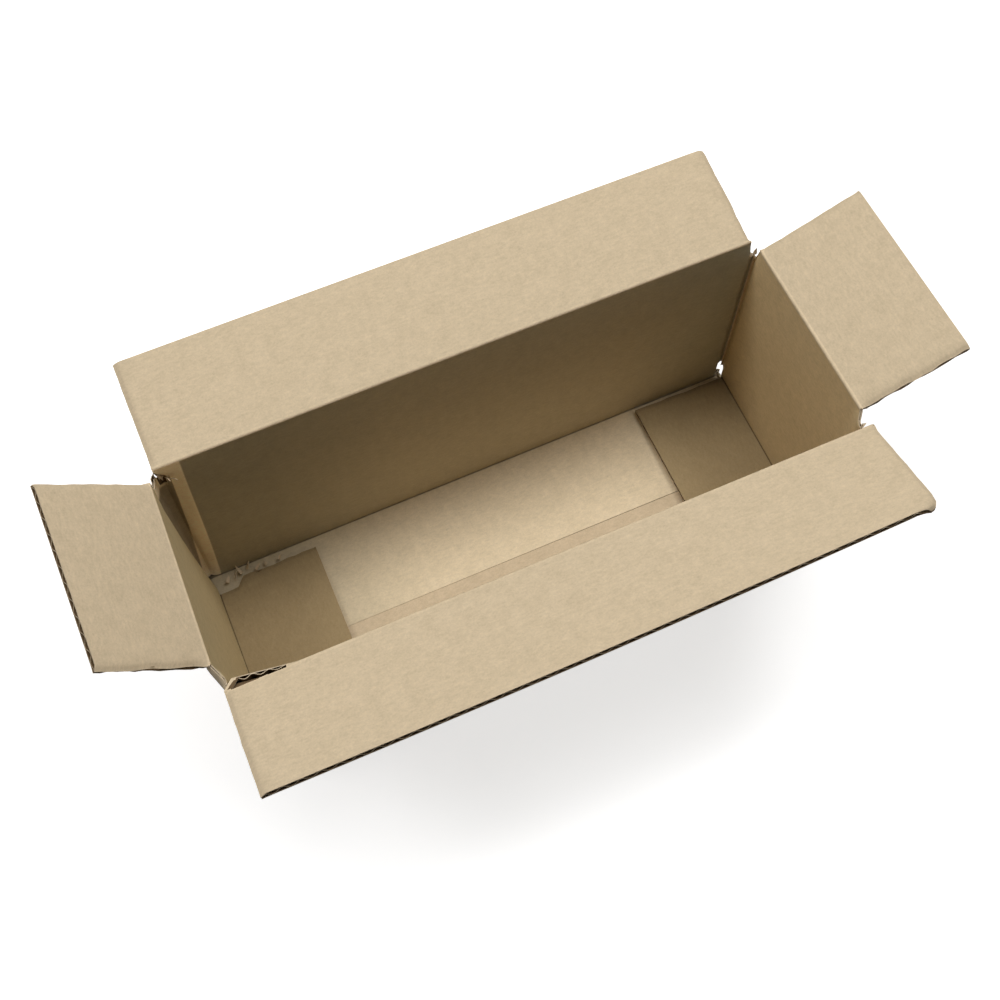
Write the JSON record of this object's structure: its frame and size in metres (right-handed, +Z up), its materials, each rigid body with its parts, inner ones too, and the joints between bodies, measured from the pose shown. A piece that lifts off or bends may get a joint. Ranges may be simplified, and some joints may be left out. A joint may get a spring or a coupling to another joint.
{
  "type": "bottle shipping box",
  "caption": "Long narrow slotted box of corrugated board, open at the top, with hinged top flaps and a taped bottom, sized for a bottle lying down.",
  "frame": {"origin": "centre of the underside, on the surface that the box stands on", "axes": "+X along the box, +Y towards the back wall, +Z up"},
  "size_m": [0.4006, 0.2182, 0.1707],
  "materials": {
    "kraft_board": "matt kraft liner",
    "packing_tape": "thin tan film, soft gloss"
  },
  "bodies": {
    "box": {"box_body": "kraft_board", "bottom_tape": "packing_tape"},
    "back_flap": {"back_flap": "kraft_board"},
    "front_flap": {"front_flap": "kraft_board"},
    "left_flap": {"left_flap": "kraft_board"},
    "right_flap": {"right_flap": "kraft_board"}
  },
  "joints": [
    {"name": "back_crease", "type": "hinge", "parent": "box", "child": "back_flap", "pos_m": [0, 0.0567, 0.134], "axis": [1, 0, 0], "range_deg": [-91, 174]},
    {"name": "front_crease", "type": "hinge", "parent": "box", "child": "front_flap", "pos_m": [0, -0.0567, 0.134], "axis": [-1, 0, 0], "range_deg": [-103.5, 161.5]},
    {"name": "left_crease", "type": "hinge", "parent": "box", "child": "left_flap", "pos_m": [-0.1557, 0, 0.1307], "axis": [0, 1, 0], "range_deg": [-119.3, 135.7]},
    {"name": "right_crease", "type": "hinge", "parent": "box", "child": "right_flap", "pos_m": [0.1557, 0, 0.1307], "axis": [0, -1, 0], "range_deg": [-105, 160]}
  ]
}
